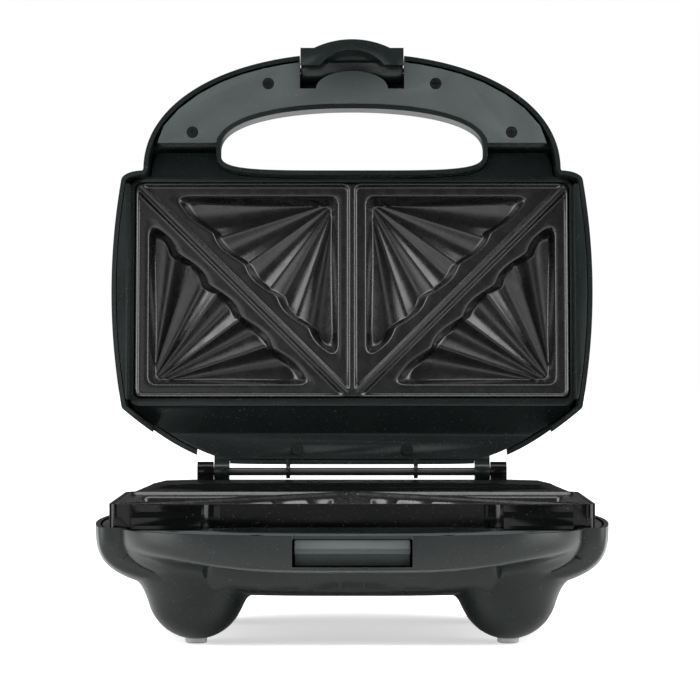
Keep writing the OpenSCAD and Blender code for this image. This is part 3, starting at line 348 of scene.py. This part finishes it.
# Cooking plates: lengths in millimetres, the draft in degrees
plate = {
    "rim": 1.2, "recess": 2.0, "strip": 3.0, "ridge": 3.6, "margin": 5.7, "corner": 3.0, "thick": 2.9,
    "step": 0.56, "inset": 0.02, "gap": 0.2, "round": 0.9, "areaBlend": 1.2, "areaStart": 0.35,
    "areaRun": 1.3, "groove": 0.5,
}
pocket = {
    "leg": 84.0, "depth": 12.5, "draft": 15.0, "flutes": 5, "scallop": 2.4, "crest": 3.9, "rise": 1.4,
    "lobeFloor": 0.006, "lobePower": 0.55, "endMargin": 1.8, "fanFrom": 1.0, "fanPower": 1.1, "risePower": 3,
    "endFade": 12, "cornerBlend": 4.0, "longBlend": 7.0, "floorBlend": 3.0, "lipSquared": 0.09,
    "outside": -1.5,
}


# Signed distance into a rounded box, positive inside
def insideBox(x, y, x0, x1, y0, y1, r):
    qx = np.abs(x - (x0 + x1) / 2) - (x1 - x0) / 2 + r
    qy = np.abs(y - (y0 + y1) / 2) - (y1 - y0) / 2 + r
    return r - np.hypot(np.maximum(qx, 0), np.maximum(qy, 0)) - np.minimum(np.maximum(qx, qy), 0)


# One lobe for each flute, (sin^2(pi n q) + e)^k: near 0 at the flutes' edges and 1 in their middles
def lobe(q):
    return (np.sin(math.pi * pocket["flutes"] * q) ** 2 + pocket["lobeFloor"]) ** pocket["lobePower"]


# Depth of one pocket at (a, b), counted from its right-angled corner along its two straight sides: walls that
# lean by the draft down to a floor whose crests fan out from the corner to the long side
def pocketDepth(a, b, floorAt):
    leg, start = pocket["leg"], pocket["fanFrom"]
    t = np.clip((b - pocket["endMargin"]) / (leg - 2 * pocket["endMargin"]), 0, 1)
    share = np.arctan2(np.maximum(b - start, 0.01), np.maximum(a - start, 0.01)) / (math.pi / 2)
    ends = np.minimum(1, pocket["endFade"] * np.minimum(t, 1 - t))
    longSide = (leg - a - b) / math.sqrt(2) - pocket["scallop"] * (1 - lobe(t)) * ends
    inward = softMin(softMin(a, b, pocket["cornerBlend"]), longSide, pocket["longBlend"])
    out = np.clip((a + b) / leg, 0, 1)
    fan = pocket["crest"] * (1 - lobe(share)) * out ** pocket["fanPower"]
    floor = floorAt - fan - pocket["rise"] * out ** pocket["risePower"]
    lip = inward + np.sqrt(inward ** 2 + pocket["lipSquared"])
    wall = 0.5 * lip / math.tan(math.radians(pocket["draft"]))
    return np.where(inward > pocket["outside"], softMin(wall, floor, pocket["floorBlend"]), 0)


# The face of a plate as heights over a grid; its outermost lines are the casting's edge
def plateSkin(name, onLid):
    half, back, front = body["plateWidth"] / 2, body["plateBack"], plateFront
    inset, corner = plate["inset"], plate["corner"]
    columns, rows = int(2 * half / plate["step"]), int((front - back) / plate["step"])
    xs = np.concatenate([[-half], np.linspace(-half + inset, half - inset, columns), [half]])
    ps = np.concatenate([[back], np.linspace(back + inset, front - inset, rows), [front]])
    x, p = np.meshgrid(xs, ps, indexing="ij")
    ax = np.abs(x)
    inner, outer = plate["strip"] / 2, half - plate["rim"]
    b0, b1 = back + plate["rim"], front - plate["rim"]
    box = insideBox(ax, p, inner, outer, b0, b1, corner)
    run = np.array([outer - inner, b1 - b0])  # the cutting ridge runs corner to corner
    t = np.clip(((ax - inner) * run[0] + (p - b0) * run[1]) / (run @ run), 0, 1)
    ridge = np.hypot(ax - inner - t * run[0], p - b0 - t * run[1]) - plate["ridge"] / 2
    area = softMin(box, ridge, plate["areaBlend"])
    z = -plate["recess"] * eased((area + plate["areaStart"]) / plate["areaRun"])
    fromRidge = (plate["round"] - np.abs(ridge + plate["ridge"] / 2)) / plate["round"]
    z = z - plate["groove"] * eased(fromRidge) * eased(box)
    floorAt = pocket["depth"] - plate["recess"]
    m = plate["margin"]
    z = (z - pocketDepth(ax - inner - m, b1 - m - p, floorAt)
         - pocketDepth(outer - m - ax, p - b0 - m, floorAt))
    edge = insideBox(x, p, -half, half, back, front, corner)
    z = z - plate["round"] * (1 - np.clip(edge / plate["round"], 0, 1)) ** 2
    cx = np.clip(x, -half + corner, half - corner)
    cp = np.clip(p, back + corner, front - corner)
    gone = edge < 0
    pull = np.where(gone, corner / np.maximum(np.hypot(x - cx, p - cp), 1e-6), 1)
    x, p = np.where(gone, cx + (x - cx) * pull, x), np.where(gone, cp + (p - cp) * pull, p)
    z[0], z[-1], z[:, 0], z[:, -1] = [-plate["thick"]] * 4
    z = np.where(gone, -plate["thick"], z)
    height = body["matingZ"] + plate["gap"] - z if onLid else body["matingZ"] - plate["gap"] + z
    obj = meshObject(name, placed(x, p, height, onLid), gridFaces(len(xs), len(ps), False, not onLid), 60)
    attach(obj, "lid" if onLid else "base")
    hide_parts("upper_plate" if onLid else "lower_plate")
    return obj


lowerPlate, upperPlate = plateSkin("lower_plate_face", False), plateSkin("upper_plate_face", True)
print("plates made:", len(upperPlate.data.polygons))

# Solids kept in shape, with their edges eased by a width in millimetres
edges = {
    "base_frame": (0.5, "frame_plastic"), "lid_frame": (0.35, "shell_plastic"),
    "handle_cover": (0.35, "cover_plastic"), "base_handle_cover": (0.35, "cover_plastic"),
    "latch_keeper": (0.4, "cover_plastic"), "latch": (0.8, "shell_plastic"),
    "cord_gland": (0.4, "gland_rubber"), "terminal_block": (0.4, "white_plastic"),
    "foot_pad_front_left": (0.5, "pad_rubber"), "foot_pad_front_right": (0.5, "pad_rubber"),
    "foot_pad_rear_left": (0.5, "pad_rubber"), "foot_pad_rear_right": (0.5, "pad_rubber"),
    "power_lamp_lens": (0.3, "red_lens"), "ready_lamp_lens": (0.3, "green_lens"),
}
easing = {"mergeWithin": 2e-6, "flatDegrees": 0.5, "sharpDegrees": 32, "segments": 2}


def softened(name, width, slot):
    solid = nodes[name]
    form = bmesh.new()
    form.from_mesh(solid.data)
    bmesh.ops.remove_doubles(form, verts=form.verts, dist=easing["mergeWithin"])
    bmesh.ops.dissolve_limit(form, angle_limit=math.radians(easing["flatDegrees"]), verts=form.verts,
                             edges=form.edges)
    mesh = bpy.data.meshes.new(name + "_eased")
    form.to_mesh(mesh)
    form.free()
    mesh.materials.clear()
    obj = bpy.data.objects.new(name + "_eased", mesh)
    bpy.context.scene.collection.objects.link(obj)
    ease = obj.modifiers.new("ease", "BEVEL")
    ease.width, ease.segments = width * mm, easing["segments"]
    ease.limit_method, ease.angle_limit = "ANGLE", math.radians(easing["sharpDegrees"])
    ease.harden_normals = False
    ease.use_clamp_overlap = True
    baked(obj, easing["sharpDegrees"])
    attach(obj, solid["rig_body"])
    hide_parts(name)
    return obj


easedPieces = {name: softened(name, *how) for name, how in edges.items()}
print("eased pieces made:", len(easedPieces))


# A node with its settings, and a value or a link for each input; i0, i1 and so on are inputs by number
def linked(tree, kind, settings=(), **sockets):
    node = tree.nodes.new(kind)
    for key, value in settings:
        setattr(node, key, value)
    for key, value in sockets.items():
        socket = node.inputs[key.replace("_", " ")] if not key[1:].isdigit() else node.inputs[int(key[1:])]
        if isinstance(value, bpy.types.NodeSocket):
            tree.links.new(value, socket)
        else:
            socket.default_value = value
    return node


def sums(tree, operation, *values):
    return linked(tree, "ShaderNodeMath", [("operation", operation)],
                  **{"i" + str(k): value for k, value in enumerate(values)}).outputs[0]


def ranged(tree, value, fromMin, fromMax, toMin, toMax):
    return linked(tree, "ShaderNodeMapRange", Value=value, From_Min=fromMin, From_Max=fromMax, To_Min=toMin,
                  To_Max=toMax).outputs["Result"]


# A grey that is added to a colour
def brightened(tree, colour, grey):
    spread = linked(tree, "ShaderNodeCombineXYZ", X=grey, Y=grey, Z=grey)
    return linked(tree, "ShaderNodeVectorMath", [("operation", "ADD")], i0=colour,
                  i1=spread.outputs["Vector"])


def scaled(tree, colour, factor):
    return linked(tree, "ShaderNodeVectorMath", [("operation", "SCALE")], i0=colour, Scale=factor)


# A shader group that several finishes share. A colour, a gloss and further values go in; a colour, a roughness
# and a height come out.
def groupOf(name, colour, gloss, further):
    tree = bpy.data.node_groups.new(name, "ShaderNodeTree")
    given = [("Colour", "NodeSocketColor", (*colour, 1)), ("Gloss", "NodeSocketFloat", gloss)]
    for label, kind, value in given + [(label, "NodeSocketFloat", value) for label, value in further]:
        tree.interface.new_socket(name=label, in_out="INPUT", socket_type=kind).default_value = value
    for label in ("Colour", "Roughness", "Height"):
        kind = "NodeSocketColor" if label == "Colour" else "NodeSocketFloat"
        tree.interface.new_socket(name=label, in_out="OUTPUT", socket_type=kind)
    where = tree.nodes.new("ShaderNodeTexCoord").outputs["Object"]
    return tree, tree.nodes.new("NodeGroupInput"), tree.nodes.new("NodeGroupOutput"), where


def noise(tree, where, size, detail):
    return linked(tree, "ShaderNodeTexNoise", Vector=where, Scale=size, Detail=detail).outputs["Fac"]


def handOut(tree, out, colour, roughness, height):
    tree.links.new(colour.outputs["Vector"], out.inputs["Colour"])
    tree.links.new(roughness, out.inputs["Roughness"])
    tree.links.new(height, out.inputs["Height"])
    return tree


# Moulded plastic: fine spark-eroded grain, faint cloudiness in colour and gloss, and a little dust
def makeMouldedGrain():
    tree, given, out, where = groupOf("mouldedGrain", (0.02, 0.02, 0.02), 0.4,
                                      [("Grain", 1.0), ("Size", 2600.0)])
    fine = noise(tree, where, given.outputs["Size"], 2.0)
    cloud = noise(tree, where, 38.0, 3.0)
    dust = ranged(tree, noise(tree, where, 1400.0, 1.0), 0.71, 0.76, 0.0, 0.05)
    tinted = scaled(tree, given.outputs["Colour"], ranged(tree, cloud, 0.3, 0.7, 0.88, 1.12))
    dusted = brightened(tree, tinted.outputs["Vector"], dust)
    rough = sums(tree, "ADD", given.outputs["Gloss"], ranged(tree, cloud, 0.3, 0.7, -0.04, 0.04))
    grain = sums(tree, "MULTIPLY", fine, given.outputs["Grain"])
    return handOut(tree, out, dusted, sums(tree, "ADD", rough, dust), grain)


# Sprayed non-stick coating: orange peel, mottled gloss and a sparse metallic fleck
def makeSprayedCoat():
    tree, given, out, where = groupOf("sprayedCoat", (0.02, 0.02, 0.02), 0.25, [("Fleck", 0.06)])
    peel = noise(tree, where, 160.0, 2.0)
    fine = noise(tree, where, 3200.0, 1.0)
    cells = linked(tree, "ShaderNodeTexVoronoi", Vector=where, Scale=900.0).outputs["Distance"]
    fleck = ranged(tree, cells, 0.16, 0.08, 0.0, given.outputs["Fleck"])
    lit = brightened(tree, given.outputs["Colour"], fleck)
    rough = sums(tree, "ADD", given.outputs["Gloss"], ranged(tree, peel, 0.3, 0.7, -0.05, 0.05))
    return handOut(tree, out, lit, rough, sums(tree, "MULTIPLY_ADD", fine, 0.05, peel))


# Drawn or rolled metal: streaks along the part's width and small stains
def makeDrawnMetal():
    tree, given, out, where = groupOf("drawnMetal", (0.5, 0.5, 0.5), 0.3, [("Stain", 0.3)])
    along = linked(tree, "ShaderNodeMapping", Vector=where, Scale=(40.0, 1800.0, 1800.0)).outputs["Vector"]
    streak = noise(tree, along, 1.0, 3.0)
    mask = ranged(tree, noise(tree, where, 120.0, 4.0), 0.45, 0.7, 0.0, given.outputs["Stain"])
    shade = scaled(tree, given.outputs["Colour"], sums(tree, "SUBTRACT", 1.0, mask))
    rough = sums(tree, "ADD", given.outputs["Gloss"], ranged(tree, streak, 0.3, 0.7, -0.07, 0.09))
    return handOut(tree, out, shade, rough, streak)


groups = {
    "mouldedGrain": makeMouldedGrain(), "sprayedCoat": makeSprayedCoat(), "drawnMetal": makeDrawnMetal(),
}


# A finish: one of the groups into a Principled BSDF, its height into a bump of so many metres
def finish(name, group, colour, gloss, bump, groupValues=(), constants=()):
    material = bpy.data.materials.new(name)
    material.use_nodes = True
    tree = material.node_tree
    surface = tree.nodes["Principled BSDF"]
    effect = tree.nodes.new("ShaderNodeGroup")
    effect.node_tree = groups[group]
    effect.inputs["Colour"].default_value = (*colour, 1)
    effect.inputs["Gloss"].default_value = gloss
    for key, value in groupValues:
        effect.inputs[key].default_value = value
    tree.links.new(effect.outputs["Colour"], surface.inputs["Base Color"])
    tree.links.new(effect.outputs["Roughness"], surface.inputs["Roughness"])
    relief = linked(tree, "ShaderNodeBump", Strength=1.0, Distance=bump, Height=effect.outputs["Height"])
    tree.links.new(relief.outputs["Normal"], surface.inputs["Normal"])
    for key, value in constants:
        surface.inputs[key].default_value = value
    return material


metal = [("Metallic", 1.0)]
finishes = {
    "shell": finish("shellPlastic", "mouldedGrain", (0.0052, 0.0082, 0.0078), 0.27, 0.000006,
                    [("Grain", 0.5)], [("Specular IOR Level", 0.33)]),
    "cover": finish("coverPlastic", "mouldedGrain", (0.041, 0.051, 0.05), 0.48, 0.000012, [("Grain", 0.8)],
                    [("Specular IOR Level", 0.36)]),
    "gloss": finish("frameGloss", "mouldedGrain", (0.002, 0.0022, 0.0024), 0.14, 0.000002, [("Grain", 0.3)],
                    [("Specular IOR Level", 0.18)]),
    "coat": finish("plateCoating", "sprayedCoat", (0.0055, 0.0057, 0.006), 0.27, 0.000005,
                   [("Fleck", 0.0015)], [("Specular IOR Level", 0.62)]),
    "steel": finish("drawnSteel", "drawnMetal", (0.085, 0.085, 0.088), 0.5, 0.000003, [("Stain", 0.15)],
                    metal),
    "screw": finish("blackedScrew", "drawnMetal", (0.035, 0.038, 0.038), 0.38, 0.000003, [("Stain", 0.3)],
                     metal),
    "sheath": finish("heaterSheath", "drawnMetal", (0.2, 0.17, 0.14), 0.45, 0.000006, [("Stain", 0.5)],
                     metal),
    "sheet": finish("traySheet", "drawnMetal", (0.62, 0.62, 0.62), 0.34, 0.000004, [("Stain", 0.2)], metal),
    "ceramic": finish("steatite", "mouldedGrain", (0.62, 0.58, 0.48), 0.55, 0.00003, [("Grain", 1.0)]),
    "white": finish("terminalPlastic", "mouldedGrain", (0.66, 0.66, 0.62), 0.4, 0.00001),
    "sleeve": finish("glassSleeve", "mouldedGrain", (0.5, 0.47, 0.4), 0.75, 0.00006, [("Size", 1500.0)]),
    "rubber": finish("glandRubber", "mouldedGrain", (0.012, 0.012, 0.012), 0.6, 0.00002),
    "pad": finish("padSilicone", "mouldedGrain", (0.62, 0.64, 0.6), 0.35, 0.00001, [],
                  [("Transmission Weight", 0.35), ("IOR", 1.41)]),
    "red": finish("redLens", "mouldedGrain", (0.42, 0.012, 0.01), 0.08, 0.000002, [],
                  [("Transmission Weight", 0.3)]),
    "green": finish("greenLens", "mouldedGrain", (0.015, 0.3, 0.05), 0.08, 0.000002, [],
                    [("Transmission Weight", 0.3)]),
}
wears = {
    "shell": ["base_shell", "lid_shell", "lid_frame", "latch"],
    "cover": ["base_handle_cover", "handle_cover", "latch_keeper"],
    "gloss": ["base_frame"], "coat": ["lower_plate", "upper_plate"],
    "steel": ["hinge_pin", "latch_pin", "latch_spring", "lower_plate_screws", "upper_plate_screws"],
    "screw": ["base_frame_screws", "base_cover_screws", "lid_frame_screws", "handle_cover_screws"],
    "sheath": ["lower_heater", "upper_heater"], "sheet": ["lower_reflector", "upper_reflector", "earth_tag"],
    "ceramic": ["thermostat", "thermal_fuse"], "white": ["terminal_block", "lamp_holder"],
    "sleeve": ["base_leads", "lid_leads"], "rubber": ["cord_gland"],
    "pad": ["foot_pad_front_left", "foot_pad_front_right", "foot_pad_rear_left", "foot_pad_rear_right"],
    "red": ["power_lamp_lens"], "green": ["ready_lamp_lens"],
}
standing = {
    "base_shell": baseShell, "lid_shell": lidShell, "lower_plate": lowerPlate, "upper_plate": upperPlate,
    **easedPieces,
}
for key, members in wears.items():
    for name in members:
        for obj in filter(None, (nodes[name], standing.get(name))):
            obj.data.materials.clear()
            obj.data.materials.append(finishes[key])
print("finishes made:", len(finishes))

# Floor, backdrop and lamps; the floor's lift grows between two distances from the object, in metres
studio = {
    "floor": 0.86, "floorRoughness": 0.9, "floorSpecular": 0.1, "floorHalf": 6.0,
    "lift": 0.54, "farLift": 1.0, "near": 0.7, "far": 2.0, "fill": 0.5, "mirror": 0.12,
}
half = studio["floorHalf"]
floorMesh = meshObject("floor", [(-half, -half, 0), (half, -half, 0), (half, half, 0), (-half, half, 0)],
                       [[0, 1, 2, 3]])


# The floor is matt, and lifted to white where the camera sees it without a shadow, more so far away
def makeFloor():
    material = bpy.data.materials.new("paleFloor")
    material.use_nodes = True
    tree = material.node_tree
    surface = tree.nodes["Principled BSDF"]
    surface.inputs["Base Color"].default_value = (studio["floor"],) * 3 + (1,)
    surface.inputs["Roughness"].default_value = studio["floorRoughness"]
    surface.inputs["Specular IOR Level"].default_value = studio["floorSpecular"]
    spot = tree.nodes.new("ShaderNodeTexCoord").outputs["Object"]
    away = linked(tree, "ShaderNodeVectorMath", [("operation", "LENGTH")], i0=spot)
    lift = linked(tree, "ShaderNodeMapRange", [("interpolation_type", "SMOOTHSTEP")],
                  Value=away.outputs["Value"], From_Min=studio["near"], From_Max=studio["far"],
                  To_Min=studio["lift"], To_Max=studio["farLift"])
    seen = tree.nodes.new("ShaderNodeLightPath").outputs["Is Camera Ray"]
    surface.inputs["Emission Color"].default_value = (1, 1, 1, 1)
    tree.links.new(sums(tree, "MULTIPLY", seen, lift.outputs["Result"]), surface.inputs["Emission Strength"])
    return material


floorMesh.data.materials.append(makeFloor())

# The backdrop is white to the eye and through clear pieces, a fill to matt surfaces and dark to reflections
world = bpy.data.worlds.new("studio")
bpy.context.scene.world = world
world.use_nodes = True
sky = world.node_tree
backdrop = sky.nodes["Background"]
path = sky.nodes.new("ShaderNodeLightPath").outputs
direct = sums(sky, "MAXIMUM", path["Is Camera Ray"], path["Is Transmission Ray"])
mirror = sums(sky, "MULTIPLY", path["Is Glossy Ray"], studio["mirror"] - studio["fill"])
whole = sums(sky, "MAXIMUM", sums(sky, "ADD", mirror, studio["fill"]), direct)
backdrop.inputs["Color"].default_value = (1, 1, 1, 1)
sky.links.new(whole, backdrop.inputs["Strength"])

lamps = {  # place, point aimed at, width, height, watts
    "overhead": ((0.0, -0.1, 1.3), (0, 0.03, 0.1), 1.1, 0.6, 9.0),
    "leftStrip": ((-0.9, -0.2, 0.5), (0, 0.03, 0.13), 0.6, 1.4, 16.0),
    "rightStrip": ((0.9, -0.2, 0.5), (0, 0.03, 0.13), 0.6, 1.4, 16.0),
    "leftWindow": ((-0.42, -1.25, 0.3), (0, 0, 0.12), 0.4, 0.5, 1.2),
    "rightWindow": ((0.6, -1.15, 0.25), (0, 0, 0.12), 0.4, 0.4, 0.8),
}
for name, (place, aim, wide, tall, watts) in lamps.items():
    light = bpy.data.lights.new(name, "AREA")
    light.shape, light.size, light.size_y, light.energy = "RECTANGLE", wide, tall, watts
    lamp = bpy.data.objects.new(name, light)
    bpy.context.scene.collection.objects.link(lamp)
    lamp.location = place
    lamp.rotation_euler = (Vector(aim) - Vector(place)).to_track_quat("-Z", "Y").to_euler()

# The camera stands in front of the hinge and looks level along y; the tilt is in radians
view = {"sensor": 36, "focalShare": 3091 / 700, "x": -0.001, "distance": 1.55, "z": 0.1423, "tilt": -0.0055}
lens = bpy.data.cameras.new("camera")
lens.sensor_width, lens.lens = view["sensor"], view["focalShare"] * view["sensor"]
camera = bpy.data.objects.new("camera", lens)
bpy.context.scene.collection.objects.link(camera)
camera.location = (view["x"], float(hingePoint[1]) - view["distance"], view["z"])
camera.rotation_euler = (math.pi / 2 + view["tilt"], 0, 0)
bpy.context.scene.camera = camera
bpy.context.scene.view_settings.view_transform = "Standard"

print("scene ready")
